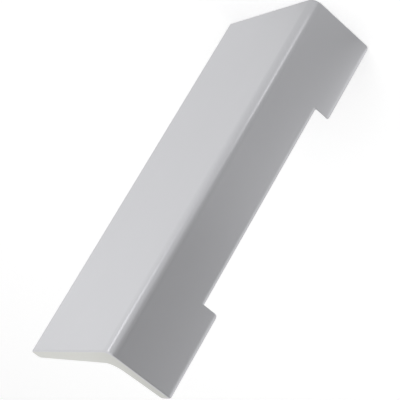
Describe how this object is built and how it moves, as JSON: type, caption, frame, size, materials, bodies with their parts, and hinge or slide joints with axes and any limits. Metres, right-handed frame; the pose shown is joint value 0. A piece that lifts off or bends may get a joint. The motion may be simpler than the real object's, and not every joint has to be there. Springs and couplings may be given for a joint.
{
  "type": "refrigerator door handle",
  "caption": "Angle-section handle for an appliance door: a wide grip flange, and a mounting flange notched into feet with blind tapped holes.",
  "frame": {"origin": "centre of the bounding box at the handle's lower end", "axes": "+Z along the handle's length, upright as on a side-hinged door; +Y towards the door, the outward normal of the feet's contact faces; +X from the mounting flange towards the grip flange's free edge"},
  "size_m": [0.061, 0.031, 0.16],
  "materials": {
    "satin_aluminium": "satin silver anodised faces, end faces left as sawn"
  },
  "bodies": {
    "root": {"door_handle": "satin_aluminium"}
  },
  "joints": []
}
